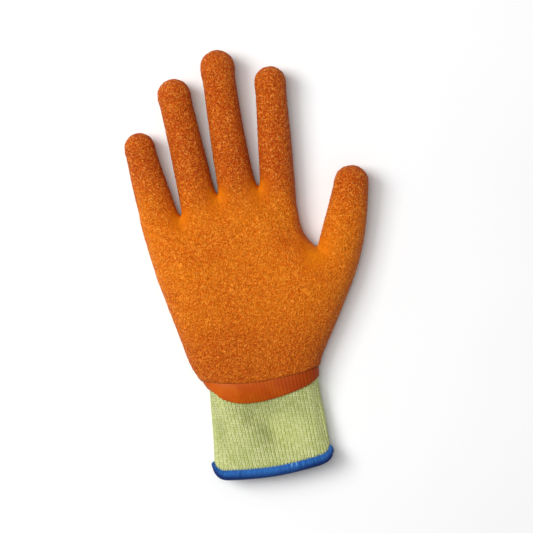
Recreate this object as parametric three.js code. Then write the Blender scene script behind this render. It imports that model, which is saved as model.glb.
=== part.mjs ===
// A knitted work glove for the right hand with a crinkled latex palm, lying on its back with the palm up.
// Millimetres, +Z up. X runs from the little finger to the thumb, Y from the cuff to the fingertips. One
// net of quads covers the whole hand. Each piece of the glove is a patch of that net between two depths.
import * as THREE from "three";

// Walls, in millimetres
const LATEX_WALL = 1.2;
const MARGIN_WALL = 0.6;
const KNIT_WALL = 1.4;
const OVERLOCK_WALL = 1.1;
const GAP = 0.3;

// The net lies on the outside of the latex, so every other face is a depth below it.
const KNIT_TOP = LATEX_WALL + GAP;
const KNIT_UNDER = KNIT_TOP + KNIT_WALL;

// How the empty glove lies: its widest line is this high, and its back is flat on the surface.
const EQUATOR_Z = 7;
const FLOOR_Z = -KNIT_TOP;
const BACK_FULLNESS = 1.12;
const BACK_ROLL = 9;
const PALM_ROLL = 21;
const OVERLOCK_LIFT = OVERLOCK_WALL + GAP;

// The doubly dipped thimble at the end of each finger, and how far it stands proud
const THIMBLE_STEP = 0.3;
const THIMBLE_SLOPE = 3.4;

// Net density: quads across one side of a finger, and rings along its shaft and over its round end
const FINGER_COLUMNS = 6;
const SHAFT_STEPS = [0.07, 0.28, 0.52, 0.76];
const CAP_ANGLES = [66, 43, 21];

// Where the fingers part: the outer roots, the crotches between fingers, and the two ends of the thumb's
// root
const ROOTS = {
  little_outer: [-61.4, 27.6],
  little_ring: [-37.8, 28.2],
  ring_middle: [-16.8, 40.9],
  middle_index: [6.6, 45.4],
  index_outer: [28.6, 35.6],
  thumb_inner: [39.7, 10.8],
  thumb_outer: [60.2, -11.7],
};

// The fingers. cap is the centre of the round end in plan, radius its half width, and lean its angle from
// +Y in degrees, towards the thumb. bow_a and bow_b push the two long sides out, pinch opens the crotch
// beside them, root_top and tip_top are heights above the widest line, and tip_lift raises the end.
const FINGERS = [
  { name: "little", a: "little_outer", b: "little_ring", cap: [-61.2, 66.5], radius: 8.4, lean: -16,
    bow_a: 0.3, bow_b: -0.4, pinch_a: 0, pinch_b: 0.9,
    root_top: 8.6, tip_top: 6.2, tip_lift: 3.6, thimble: 12.5 },
  { name: "ring", a: "little_ring", b: "ring_middle", cap: [-41.5, 96.6], radius: 9.2, lean: -12.7,
    bow_a: -0.5, bow_b: -0.2, pinch_a: 0.9, pinch_b: 1.1,
    root_top: 9.4, tip_top: 6.8, tip_lift: 4.2, thimble: 13.5 },
  { name: "middle", a: "ring_middle", b: "middle_index", cap: [-16.7, 112.9], radius: 9.4, lean: -8.8,
    bow_a: 0.1, bow_b: -1.2, pinch_a: 0.6, pinch_b: 1.2,
    root_top: 9.8, tip_top: 7.0, tip_lift: 4.6, thimble: 16 },
  { name: "index", a: "middle_index", b: "index_outer", cap: [13.4, 104.5], radius: 8.6, lean: -4.6,
    bow_a: -0.1, bow_b: 0.2, pinch_a: 1.2, pinch_b: 0,
    root_top: 9.6, tip_top: 6.8, tip_lift: 4.2, thimble: 14.5 },
  { name: "thumb", a: "thumb_inner", b: "thumb_outer", cap: [59.9, 47.1], radius: 9.5, lean: 9.7,
    bow_a: -0.2, bow_b: 2.6, pinch_a: 0.9, pinch_b: 0,
    root_top: 12.0, tip_top: 7.4, tip_lift: 4.4, thimble: 13.5 },
];

// Sections across the hand, from the rim of the cuff up to the crotch of the thumb. line holds the points
// that a section passes through from the little finger's side, top its height above the widest line, and
// sub the number of rows from the section before it.
const SECTIONS = [
  { name: "rim", sub: 0, top: 9.4,
    line: [[-19.9, -114.4], [-16.4, -118.8], [-10.4, -121.0], [15, -119.0], [39.6, -113.2],
      [47.2, -109.6], [49.9, -105.4]] },
  { name: "overlock_top", sub: 1, top: 9.0,
    line: [[-20.1, -111.8], [-16.8, -114.5], [-10.6, -115.8], [15, -113.8], [38.9, -108.2],
      [46.2, -104.9], [48.9, -101.0]] },
  { name: "cuff_waist", sub: 1, top: 7.2,
    line: [[-21.2, -92.5], [-8, -98.5], [16, -97.0], [40, -91.5], [46.9, -87.5]] },
  { name: "cuff_top", sub: 1, top: 8.4,
    line: [[-22.6, -79.0], [-14, -85.0], [0, -88.4], [16, -85.8], [34, -79.2], [44.2, -74.6]] },
  { name: "latex_edge", sub: 1, top: 10.6,
    line: [[-22.8, -71.2], [-18.6, -73.4], [-14.2, -76.8], [-3.5, -79.3], [9.2, -78.1],
      [24.5, -73.2], [37.2, -67.7], [42.4, -63.2]] },
  { name: "margin_top", sub: 1, top: 11.6,
    line: [[-26.0, -67.3], [-11, -67.75], [4.2, -66.75], [19.4, -63.95], [32.1, -61.2], [42.2, -57.6]] },
  { name: "crinkle_edge", sub: 1, top: 11.7,
    line: [[-26.2, -66.95], [-11, -67.4], [4.2, -66.4], [19.4, -63.6], [32.1, -60.85], [42.2, -57.2]] },
  { name: "wrist", sub: 1, top: 12.6,
    line: [[-31.9, -58.3], [-6, -59.5], [18, -56.5], [43.4, -51.5]] },
  { name: "heel", sub: 1, top: 13.5,
    line: [[-36.6, -46.2], [0, -46.5], [47.6, -41.6]] },
  { name: "low_palm", sub: 1, top: 14.0,
    line: [[-41.4, -34.4], [0, -34.0], [52.4, -30.6]] },
  { name: "thumb_heel", sub: 1, top: 14.2,
    line: [[-49.6, -13.6], [0, -13.0], ROOTS.thumb_outer] },
];

// The two rows that the thumb's crotch and the fingers' crotches lie on, and the rows between them
const THUMB_CROTCH = { top: 13.7,
  line: [[-57.9, 13.0], [-35, 8.0], [-8, 9.0], [18, 10.5], ROOTS.thumb_inner] };
const UPPER_PALM = [
  { share: 0.36, little_side: [-59.1, 17.2], index_side: [33.0, 17.6] },
  { share: 0.7, little_side: [-60.4, 22.3], index_side: [30.1, 26.4] },
  { share: 0.93, little_side: [-61.2, 26.2], index_side: [28.9, 33.2] },
];

// A mound at the root of the thumb, and a soft dent in the cuff under the edge of the latex
const MOUNDS = [
  { at: [36, -12], reach: 24, height: 1.6 },
  { at: [-30, -8], reach: 22, height: 0.8 },
  { at: [15, -91], reach: 12, height: -1.8 },
  { at: [2, 22], reach: 20, height: -0.7 },
];

const smooth = (t) => t * t * (3 - 2 * t);
const clamp01 = (t) => Math.min(1, Math.max(0, t));
const mix = (a, b, t) => a + (b - a) * t;
const mixPoint = (p, q, t) => [mix(p[0], q[0], t), mix(p[1], q[1], t)];

// Places across a rounded side, from -1 to 1, packed towards the two edges
const acrossFinger = Array.from({ length: FINGER_COLUMNS + 1 }, (_, k) =>
  -Math.cos((Math.PI * k) / FINGER_COLUMNS));

// How high a round finger is at the k-th of those places, as a share of its full height
const roundShare = (k) => Math.sqrt(1 - acrossFinger[k] ** 2);

// The hand's columns: as shares of its width at the fingers, and at the wrist
const HAND_COLUMNS = 4 * FINGER_COLUMNS;
const knuckleShares = Array.from({ length: HAND_COLUMNS + 1 }, (_, j) => {
  const finger = Math.min(3, Math.floor(j / FINGER_COLUMNS));
  return (finger + (1 + acrossFinger[j - finger * FINGER_COLUMNS]) / 2) / 4;
});
const wristShares = Array.from({ length: HAND_COLUMNS + 1 }, (_, j) => {
  const even = j / HAND_COLUMNS;
  return mix(even, (1 - Math.cos(Math.PI * even)) / 2, 0.72);
});

// How far in from the outline the palm's height is relaxed at all and in full, how strongly, and how many
// times
const RELAX_FROM = 4;
const RELAX_FULL = 11;
const RELAX_SHARE = 0.5;
const RELAX_ROUNDS = 8;

// How much a vertex's normal takes from its neighbours', how clearly it must leave each face around it, and
// how many times it may be turned to do so
const NORMAL_EASE = 0.12;
const CLEAR_OF_FACE = 0.35;
const NORMAL_ROUNDS = 40;

// Vertices and quads of the net. A vertex knows its place in plan, its height, the depth of its thimble and
// how freely its height is relaxed.
const vertices = [];
const quads = [];

function addVertex(plan, z, options = {}) {
  vertices.push({ x: plan[0], y: plan[1], z, thimble: 0, free: 0, outline: false, ...options });
  return vertices.length - 1;
}

// Corners run counterclockwise seen from outside. A triangle has three corners. A quad lies in a zone of
// the latex, in a section of the knit, and on the palm or the back.
function addQuad(corners, zone, section, side) {
  quads.push({ corners, zone, section, side });
}

// How full a rounded side is at a share of the way in from its edge
const roll = (share) => Math.sqrt(1 - (1 - clamp01(share)) ** 2);

const moundAt = ([x, y]) =>
  MOUNDS.reduce((sum, { at, reach, height }) => {
    const away = Math.hypot(x - at[0], y - at[1]) / reach;
    return sum + height * Math.exp(-away * away);
  }, 0);

// The rows of the hand in plan, from the rim to the fingers' crotches
function handRows() {
  const across = (line, shares) => {
    const curve = new THREE.SplineCurve(line.map(([x, y]) => new THREE.Vector2(x, y)));
    return shares.map((share) => curve.getPointAt(share).toArray());
  };
  const rows = [];
  for (const { name, sub, top, line } of SECTIONS) {
    const points = across(line, wristShares);
    const before = rows.at(-1);
    for (let k = 1; k < sub; k++) {
      const plan = points.map((p, j) => mixPoint(before.plan[j], p, k / sub));
      rows.push({ name: "between", top: mix(before.top, top, k / sub), plan });
    }
    rows.push({ name, top, plan: points });
  }

  // Beside the thumb the rows end on its root, packed as the thumb's own columns are.
  const heel = rows.at(-1);
  const halfway = wristShares.map((share, j) => mix(share, knuckleShares[j], 0.5));
  const crotch = across(THUMB_CROTCH.line, halfway);
  for (let k = 1; k <= FINGER_COLUMNS; k++) {
    const even = k / FINGER_COLUMNS;
    const packed = (1 + acrossFinger[k]) / 2;
    const plan = crotch.map((p, j) => mixPoint(heel.plan[j], p, mix(even, packed, halfway[j])));
    rows.push({ name: "thumb_root", top: mix(heel.top, THUMB_CROTCH.top, even), plan });
  }

  const knuckles = knuckleShares.map((_, j) => {
    const finger = FINGERS[Math.min(3, Math.floor(j / FINGER_COLUMNS))];
    const s = acrossFinger[j - FINGERS.indexOf(finger) * FINGER_COLUMNS];
    return mixPoint(ROOTS[finger.a], ROOTS[finger.b], (1 + s) / 2);
  });
  for (const { share, little_side, index_side } of UPPER_PALM) {
    const straight = knuckles.map((p, j) => mixPoint(crotch[j], p, share));
    const shiftOf = (p, q) => [p[0] - q[0], p[1] - q[1]];
    const littleShift = shiftOf(little_side, straight[0]);
    const indexShift = shiftOf(index_side, straight[HAND_COLUMNS]);
    const plan = straight.map((p, j) => {
      const u = knuckleShares[j];
      return [0, 1].map((axis) => p[axis] + littleShift[axis] * (1 - u) ** 2 + indexShift[axis] * u ** 2);
    });
    const top = mix(THUMB_CROTCH.top, FINGERS[1].root_top, share);
    rows.push({ name: "upper_palm", top, plan, knuckled: share });
  }
  rows.push({ name: "knuckles", top: FINGERS[1].root_top, plan: knuckles });
  return rows;
}

const rows = handRows();
const rowNamed = (name) => rows.findIndex((row) => row.name === name);
const KNUCKLES = rows.length - 1;
const THUMB_FIRST = rowNamed("thumb_heel");
const THUMB_LAST = THUMB_FIRST + FINGER_COLUMNS;

// The hand's outline in plan, as the runs that it has between the roots of the fingers and of the thumb
const sideOf = (from, to, column) => rows.slice(from, to + 1).map((row) => row.plan[column]);
const outlineRuns = [
  sideOf(0, KNUCKLES, 0),
  [ROOTS.little_ring],
  [ROOTS.ring_middle],
  [ROOTS.middle_index],
  sideOf(THUMB_LAST, KNUCKLES, HAND_COLUMNS),
  sideOf(0, THUMB_FIRST, HAND_COLUMNS),
];

function distanceToOutline([x, y]) {
  let least = Infinity;
  for (const run of outlineRuns) {
    run.forEach((a, i) => {
      const b = run[i + 1] ?? a;
      const [dx, dy] = [b[0] - a[0], b[1] - a[1]];
      const t = clamp01(((x - a[0]) * dx + (y - a[1]) * dy) / (dx * dx + dy * dy || 1));
      least = Math.min(least, Math.hypot(x - a[0] - t * dx, y - a[1] - t * dy));
    });
  }
  return least;
}

const backZ = (share, lift = 0) =>
  Math.max(EQUATOR_Z - (EQUATOR_Z - FLOOR_Z) * BACK_FULLNESS * share, FLOOR_Z) + lift;

// Net of the hand: for each row and column a vertex on the palm and one on the back, shared on the outline
function buildHand() {
  const grid = { palm: [], back: [] };
  rows.forEach((row, r) => {
    const lift = OVERLOCK_LIFT * (1 - smooth(clamp01((r - 1) / (rowNamed("cuff_top") - 1))));
    const onThumb = r >= THUMB_FIRST && r <= THUMB_LAST;
    grid.palm.push([]);
    grid.back.push([]);
    row.plan.forEach((plan, j) => {
      const edge = distanceToOutline(plan);
      let palmShare = roll(edge / PALM_ROLL);
      let backShare = roll(edge / BACK_ROLL);
      let top = row.top + moundAt(plan) * palmShare;
      const f = Math.min(3, Math.floor(j / FINGER_COLUMNS));
      const fingerShare = roundShare(j - f * FINGER_COLUMNS);
      palmShare = Math.max(palmShare, fingerShare * (row.knuckled ?? 0));
      if (r === KNUCKLES) {
        palmShare = backShare = fingerShare;
        top = FINGERS[f].root_top;
      }
      if (onThumb && j === HAND_COLUMNS) {
        palmShare = backShare = roundShare(r - THUMB_FIRST);
        top = FINGERS[4].root_top;
      }
      const outline = Math.min(palmShare, backShare) < 1e-6;
      const clearOfEdge = smooth(clamp01((edge - RELAX_FROM) / (RELAX_FULL - RELAX_FROM)));
      const free = r > rowNamed("wrist") ? clearOfEdge : 0;
      const upper = addVertex(plan, EQUATOR_Z + lift + top * palmShare, { outline, free });
      grid.palm[r].push(upper);
      grid.back[r].push(outline ? upper : addVertex(plan, backZ(backShare, lift)));
    });
  });

  const zoneStarts = [["latex", "crinkle_edge"], ["seam", "margin_top"], ["margin", "latex_edge"],
    ["bare", "rim"]];
  for (let r = 0; r < KNUCKLES; r++) {
    const [zone] = zoneStarts.find(([, start]) => r >= rowNamed(start));
    const section = r < rowNamed("wrist") ? "cuff" : "hand";
    for (let j = 0; j < HAND_COLUMNS; j++) {
      const { palm, back } = grid;
      addQuad([palm[r][j], palm[r][j + 1], palm[r + 1][j + 1], palm[r + 1][j]], zone, section, "palm");
      addQuad([back[r][j + 1], back[r][j], back[r + 1][j], back[r + 1][j + 1]], zone, section, "back");
    }
  }
  return grid;
}

// One finger, from the ring of hand vertices at its root to the vertex at its end
function buildFinger(finger, rootPalm, rootBack) {
  const lean = THREE.MathUtils.degToRad(finger.lean);
  const along = [Math.sin(lean), Math.cos(lean)];
  const side = [along[1], -along[0]];
  const { radius, cap } = finger;
  const capA = [cap[0] - side[0] * radius, cap[1] - side[1] * radius];
  const capB = [cap[0] + side[0] * radius, cap[1] + side[1] * radius];
  const length = Math.hypot(cap[0] - (ROOTS[finger.a][0] + ROOTS[finger.b][0]) / 2,
    cap[1] - (ROOTS[finger.a][1] + ROOTS[finger.b][1]) / 2);
  const thimbleStart = 1 - (finger.thimble - radius) / length;
  const thimbleFull = thimbleStart + THIMBLE_SLOPE / length;

  // Each ring is a line in plan from side a to side b, with its height and how far round the end it is.
  const rings = [...SHAFT_STEPS, thimbleStart, thimbleFull, 1].map((t) => {
    const bowed = (bow, pinch) => bow * 4 * t * (1 - t) - pinch * clamp01(t / SHAFT_STEPS[0]) * (1 - t);
    const pushA = bowed(finger.bow_a, finger.pinch_a);
    const pushB = bowed(finger.bow_b, finger.pinch_b);
    const a = mixPoint(ROOTS[finger.a], capA, t);
    const b = mixPoint(ROOTS[finger.b], capB, t);
    return {
      a: [a[0] - side[0] * pushA, a[1] - side[1] * pushA],
      b: [b[0] + side[0] * pushB, b[1] + side[1] * pushB],
      top: mix(finger.root_top, finger.tip_top, t),
      full: 1,
      lift: finger.tip_lift * t * t,
      thimble: t >= thimbleFull ? THIMBLE_STEP : 0,
      wrapped: t > thimbleStart,
    };
  });
  for (const angle of CAP_ANGLES) {
    const turn = THREE.MathUtils.degToRad(angle);
    const centre = [cap[0] + along[0] * radius * Math.cos(turn), cap[1] + along[1] * radius * Math.cos(turn)];
    const half = radius * Math.sin(turn);
    rings.push({
      a: [centre[0] - side[0] * half, centre[1] - side[1] * half],
      b: [centre[0] + side[0] * half, centre[1] + side[1] * half],
      top: finger.tip_top,
      full: Math.sin(turn),
      lift: finger.tip_lift,
      thimble: THIMBLE_STEP,
      wrapped: true,
    });
  }

  let palm = rootPalm;
  let back = rootBack;
  for (const ring of rings) {
    const nextPalm = [];
    const nextBack = [];
    acrossFinger.forEach((s, k) => {
      const plan = mixPoint(ring.a, ring.b, (1 + s) / 2);
      const round = roundShare(k);
      const outline = round < 1e-6;
      const options = { thimble: ring.thimble, outline };
      const upper = addVertex(plan, EQUATOR_Z + ring.lift + ring.top * round * ring.full, options);
      nextPalm.push(upper);
      const lower = EQUATOR_Z + ring.lift - (EQUATOR_Z - backZ(round)) * ring.full;
      nextBack.push(outline ? upper : addVertex(plan, lower, { thimble: ring.thimble }));
    });
    const zone = ring.wrapped ? "thimble" : "latex";
    // The first ring stays with the hand, so that the knit's sections part clear of the crotches.
    const section = ring === rings[0] ? "hand" : finger.name;
    for (let k = 0; k < FINGER_COLUMNS; k++) {
      addQuad([palm[k], palm[k + 1], nextPalm[k + 1], nextPalm[k]], zone, section, "palm");
      addQuad([back[k + 1], back[k], nextBack[k], nextBack[k + 1]], zone, section, "back");
    }
    palm = nextPalm;
    back = nextBack;
  }
  const tip = addVertex([cap[0] + along[0] * radius, cap[1] + along[1] * radius], EQUATOR_Z + finger.tip_lift,
    { thimble: THIMBLE_STEP });
  for (let k = 0; k < FINGER_COLUMNS; k++) {
    addQuad([palm[k], palm[k + 1], tip], "thimble", finger.name, "palm");
    addQuad([back[k + 1], back[k], tip], "thimble", finger.name, "back");
  }
}

const hand = buildHand();
FINGERS.forEach((finger, f) => {
  const isThumb = finger.name === "thumb";
  const pick = (grid) =>
    isThumb
      ? grid.slice(THUMB_FIRST, THUMB_LAST + 1).map((row) => row[HAND_COLUMNS]).reverse()
      : grid[KNUCKLES].slice(f * FINGER_COLUMNS, (f + 1) * FINGER_COLUMNS + 1);
  buildFinger(finger, pick(hand.palm), pick(hand.back));
});

// Brings the palm's heights towards those of their neighbours, the nearest most, so that no crease is left
// where rows meet or where the thumb begins
function relaxPalm() {
  const neighbours = vertices.map(() => new Set());
  for (const { corners, side } of quads) {
    if (side === "back") continue;
    corners.forEach((i, k) => {
      const next = corners[(k + 1) % corners.length];
      neighbours[i].add(next);
      neighbours[next].add(i);
    });
  }
  for (let round = 0; round < RELAX_ROUNDS; round++) {
    const heights = vertices.map((vertex, i) => {
      if (vertex.free === 0) return vertex.z;
      let sum = 0;
      let weights = 0;
      for (const k of neighbours[i]) {
        const weight = 1 / Math.hypot(vertices[k].x - vertex.x, vertices[k].y - vertex.y);
        sum += weight * vertices[k].z;
        weights += weight;
      }
      return mix(vertex.z, sum / weights, RELAX_SHARE * vertex.free);
    });
    vertices.forEach((vertex, i) => {
      vertex.z = heights[i];
    });
  }
}
relaxPalm();

// Each vertex's outward normal: the mean of the faces around it, turned until it leaves every one of them
// clearly
function addNormals() {
  const point = (i) => new THREE.Vector3(vertices[i].x, vertices[i].y, vertices[i].z);
  const around = vertices.map(() => []);
  for (const { corners } of quads) {
    const [a, b, c, d] = corners;
    for (const triangle of d === undefined ? [[a, b, c]] : [[a, b, c], [a, c, d]]) {
      const [p, q, r] = triangle.map(point);
      const normal = q.sub(p).cross(r.sub(p)).normalize();
      for (const i of triangle) around[i].push(normal);
    }
  }
  const meanOf = (faces) => faces.reduce((sum, face) => sum.add(face), new THREE.Vector3()).normalize();
  const mean = around.map(meanOf);
  const eased = mean.map((normal) => normal.clone());
  for (const { corners } of quads) {
    for (const i of corners) {
      for (const k of corners) eased[i].addScaledVector(mean[k], NORMAL_EASE);
    }
  }
  vertices.forEach((vertex, i) => {
    const normal = eased[i].normalize();
    for (let round = 0; round < NORMAL_ROUNDS; round++) {
      const least = around[i].reduce((low, face) => (face.dot(normal) < low.dot(normal) ? face : low));
      if (least.dot(normal) > CLEAR_OF_FACE) break;
      normal.addScaledVector(least, 0.15).normalize();
    }
    vertex.normal = normal;
  });
}
addNormals();

// The net's vertex, moved below its surface by a depth, and no lower than the flat back is at that depth
const atDepth = (i, depth) => {
  const { x, y, z, normal } = vertices[i];
  const point = new THREE.Vector3(x, y, z).addScaledVector(normal, -depth);
  point.z = Math.max(point.z, FLOOR_Z + depth);
  return point;
};

// A closed solid from a list of faces, each a list of corners into a list of points
function solidFrom(points, faces) {
  const triangles = faces.flatMap(([a, b, c, d]) => (d === undefined ? [a, b, c] : [a, b, c, a, c, d]));
  const geometry = new THREE.BufferGeometry();
  geometry.setAttribute("position", new THREE.Float32BufferAttribute(points.flatMap((p) => p.toArray()), 3));
  geometry.setIndex(triangles);
  geometry.computeVertexNormals();
  return geometry;
}

// The open sides of a patch, each as the pair of vertices that it runs between
function openSides(patch) {
  const open = new Map();
  for (const { corners } of patch) {
    corners.forEach((from, k) => {
      const to = corners[(k + 1) % corners.length];
      if (!open.delete(`${to},${from}`)) open.set(`${from},${to}`, [from, to]);
    });
  }
  return [...open.values()];
}

// How far each vertex on an open side of a patch moves for the patch to end short of its neighbour
function trimOf(patch, isJoint) {
  const edge = new Set(openSides(patch).flat().filter(isJoint));
  const pull = new Map([...edge].map((i) => [i, new THREE.Vector3()]));
  for (const { corners } of patch) {
    corners.forEach((i, k) => {
      for (const other of [corners[(k + 1) % corners.length], corners.at(k - 1)]) {
        if (!edge.has(i) || edge.has(other)) continue;
        pull.get(i).add(atDepth(other, 0).sub(atDepth(i, 0)).normalize());
      }
    });
  }
  for (const way of pull.values()) way.setLength(GAP / 2);
  return pull;
}

// A patch of the net as a wall between two depths, with an edge face along each open side of the patch
function wallOf(patch, outerDepth, innerDepth, trim = new Map()) {
  const used = [...new Set(patch.flatMap(({ corners }) => corners))];
  const place = new Map(used.map((i, k) => [i, k]));
  const trimmed = (i, depth) => atDepth(i, depth).add(trim.get(i) ?? new THREE.Vector3());
  const points = [
    ...used.map((i) => trimmed(i, outerDepth(vertices[i]))),
    ...used.map((i) => trimmed(i, innerDepth)),
  ];
  const inner = used.length;
  const faces = [];
  for (const { corners } of patch) {
    const ring = corners.map((i) => place.get(i));
    faces.push(ring);
    // The inner face keeps the outer one's diagonal, so that nested walls stay parallel.
    const [a, b, c, d] = ring.map((i) => i + inner);
    faces.push(...(d === undefined ? [[a, c, b]] : [[a, c, b], [a, d, c]]));
  }
  for (const side of openSides(patch)) {
    const [from, to] = side.map((i) => place.get(i));
    const face = [to, from, from + inner, to + inner];
    // The two faces of a joint run opposite ways, so one is turned for both to be split alike.
    const turned = side.every((i) => trim.has(i)) && side[0] > side[1];
    faces.push(turned ? [...face.slice(1), face[0]] : face);
  }
  return solidFrom(points, faces);
}

// Faces of the section below that run towards the rim, split along the other diagonal to match the knit's
const TOWARDS_RIM = [1, 8];

// The overlocked edge: a band of yarn folded over the rim, seen in section as a U and swept round the cuff
function overlockGeometry() {
  const ringOf = (r) => [...hand.palm[r], ...hand.back[r].slice(1, -1).reverse()];
  const rim = ringOf(0);
  const upper = ringOf(1);
  const points = [];
  rim.forEach((i, k) => {
    const before = rim.at(k - 1);
    const after = rim[(k + 1) % rim.length];
    const out = atDepth(after, 0).sub(atDepth(before, 0)).cross(vertices[i].normal).normalize();
    const outer = KNIT_TOP - GAP;
    const inner = KNIT_UNDER + GAP;
    const section = [
      [upper[k], outer, 0],
      [upper[k], outer - OVERLOCK_WALL, 0],
      [i, outer - OVERLOCK_WALL, 0],
      [i, outer - OVERLOCK_WALL / 3, GAP + OVERLOCK_WALL / 1.5],
      [i, (outer + inner) / 2, GAP + OVERLOCK_WALL],
      [i, inner + OVERLOCK_WALL / 3, GAP + OVERLOCK_WALL / 1.5],
      [i, inner + OVERLOCK_WALL, 0],
      [upper[k], inner + OVERLOCK_WALL, 0],
      [upper[k], inner, 0],
      [i, inner, GAP],
      [i, outer, GAP],
    ];
    points.push(...section.map(([at, depth, beyond]) => atDepth(at, depth).addScaledVector(out, beyond)));
  });
  const count = points.length / rim.length;
  const faces = [];
  rim.forEach((_, k) => {
    const next = (k + 1) % rim.length;
    for (let m = 0; m < count; m++) {
      const after = (m + 1) % count;
      const face = [k * count + m, k * count + after, next * count + after, next * count + m];
      faces.push(TOWARDS_RIM.includes(m) ? [...face.slice(1), face[0]] : face);
    }
  });
  return solidFrom(points, faces);
}

// Latex covers the palm side, wraps round every edge of the outline, and goes right round each fingertip.
const onOutline = ({ corners }) =>
  corners.some((i, k) => vertices[i].outline && vertices[corners[(k + 1) % corners.length]].outline);
const coated = (quad) => quad.side === "palm" || quad.zone === "thimble" || onOutline(quad);

// The knit is made in sections, a tube for each finger, one for the hand and one for the cuff, which meet
// at a gap.
const rimVertices = new Set([...hand.palm[0], ...hand.back[0]]);
const knitSection = (name, section) => {
  const patch = quads.filter((quad) => quad.section === section);
  const trim = trimOf(patch, (i) => !rimVertices.has(i));
  return {
    name,
    geometry: wallOf(patch, () => KNIT_TOP, KNIT_UNDER, trim),
    material: { color: 0xc3cd7e, roughness: 0.95 },
  };
};

const pieces = [
  knitSection("knit_cuff", "cuff"),
  knitSection("knit_hand", "hand"),
  ...FINGERS.map(({ name }) => knitSection(name === "thumb" ? "knit_thumb" : `knit_${name}_finger`, name)),
  {
    name: "latex_coating",
    geometry: wallOf(
      quads.filter((quad) => (quad.zone === "latex" || quad.zone === "thimble") && coated(quad)),
      (vertex) => -vertex.thimble,
      LATEX_WALL,
    ),
    material: { color: 0xdd6c12, roughness: 0.6 },
  },
  {
    name: "latex_margin",
    geometry: wallOf(
      quads.filter((quad) => quad.zone === "margin" && coated(quad)),
      () => LATEX_WALL - MARGIN_WALL,
      LATEX_WALL,
    ),
    material: { color: 0xcf5410, roughness: 0.5 },
  },
  {
    name: "cuff_overlock",
    geometry: overlockGeometry(),
    material: { color: 0x1f5fb4, roughness: 0.85 },
  },
];

// The glove is centred over the origin and stands on Z = 0.
const extent = new THREE.Box3();
for (const { geometry } of pieces) {
  geometry.computeBoundingBox();
  extent.union(geometry.boundingBox);
}
const centre = extent.getCenter(new THREE.Vector3());

const glove = new THREE.Group();
for (const { name, geometry, material } of pieces) {
  geometry.translate(-centre.x, -centre.y, -extent.min.z);
  const mesh = new THREE.Mesh(geometry, new THREE.MeshStandardMaterial({ metalness: 0, ...material }));
  mesh.name = name;
  glove.add(mesh);
}

export default glove;
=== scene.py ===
# %% [markdown]
# A knitted work glove with a crinkled latex palm, lying on its back. The solids of the glove come
# from the frame, in metres. Every piece that is made here grows out of those solids, so it has the
# glove's true size and place, and gets the relief and the finish that the solids leave out.

# %% Load the glove's frame
import math
import random

import bmesh
import bpy
import numpy as np
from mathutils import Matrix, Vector, noise
from mathutils.bvhtree import BVHTree


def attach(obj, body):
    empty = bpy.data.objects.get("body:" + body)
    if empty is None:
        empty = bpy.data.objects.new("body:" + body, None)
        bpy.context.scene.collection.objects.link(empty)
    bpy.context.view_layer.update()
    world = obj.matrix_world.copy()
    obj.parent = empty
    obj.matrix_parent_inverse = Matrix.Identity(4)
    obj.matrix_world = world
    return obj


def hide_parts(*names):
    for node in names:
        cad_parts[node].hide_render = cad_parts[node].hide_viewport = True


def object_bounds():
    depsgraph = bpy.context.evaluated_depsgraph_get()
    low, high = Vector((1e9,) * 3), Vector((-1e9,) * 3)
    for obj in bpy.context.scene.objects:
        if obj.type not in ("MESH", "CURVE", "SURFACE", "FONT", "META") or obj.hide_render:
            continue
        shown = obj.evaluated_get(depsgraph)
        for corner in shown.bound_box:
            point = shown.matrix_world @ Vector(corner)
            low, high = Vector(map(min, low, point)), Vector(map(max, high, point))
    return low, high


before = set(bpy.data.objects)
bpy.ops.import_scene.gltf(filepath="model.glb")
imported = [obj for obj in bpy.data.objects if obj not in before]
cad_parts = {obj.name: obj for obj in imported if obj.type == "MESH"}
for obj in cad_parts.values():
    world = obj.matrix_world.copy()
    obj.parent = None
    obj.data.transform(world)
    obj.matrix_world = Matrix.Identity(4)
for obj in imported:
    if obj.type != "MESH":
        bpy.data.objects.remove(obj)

MM = 0.001
solid_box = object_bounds()
low_corner, high_corner = ([round(v / MM, 1) for v in corner] for corner in solid_box)
print("solids reach from", low_corner, "to", high_corner)

KNIT_SECTIONS = [
    "knit_cuff",
    "knit_hand",
    "knit_thumb",
    "knit_index_finger",
    "knit_middle_finger",
    "knit_ring_finger",
    "knit_little_finger",
]

# %% [markdown]
# The glove is soft and seamless, but its solids are made of flat triangles. A smooth surface can be
# had by remeshing, which rounds off thin walls, or by subdividing a cage of quads, which keeps them.
# The triangles lie in pairs, so joining each pair gives back the quads, and the surface is then
# subdivided through the cage's own corners, so that the fingers don't get thinner. A corner is moved
# by a share of its shortest edge at most. Where a surface still folds onto itself, it is ironed.

# %% A cage of quads from the solids
WELD_GAP = 0.002 * MM
JOINT_GAP = 0.305 * MM
REGULAR_GRID_WEIGHTS = (1.0, 1.5, 2.0)
SUBDIVISIONS = 2
SHIFT_ROUNDS = 3
SHIFT_SHARE = 0.25
RIM_EDGE = 1.6 * MM
FOLDED_ANGLE = 1.9
IRON_REACH = 2
IRON_ROUNDS = 8


def quads_of(node):
    """The solid of a node with its triangles joined in pairs, in the way that leaves the fewest over."""
    tries = []
    for weight in REGULAR_GRID_WEIGHTS:
        part = bmesh.new()
        part.from_mesh(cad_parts[node].data)
        bmesh.ops.remove_doubles(part, verts=part.verts, dist=WELD_GAP)
        bmesh.ops.join_triangles(
            part,
            faces=part.faces,
            angle_face_threshold=math.pi,
            angle_shape_threshold=math.pi,
            topology_influence=weight,
        )
        joined = bpy.data.meshes.new("joined")
        part.to_mesh(joined)
        part.free()
        tries.append(joined)
    best = min(tries, key=lambda mesh: len(mesh.polygons))
    for mesh in tries:
        if mesh != best:
            bpy.data.meshes.remove(mesh)
    return best


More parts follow.
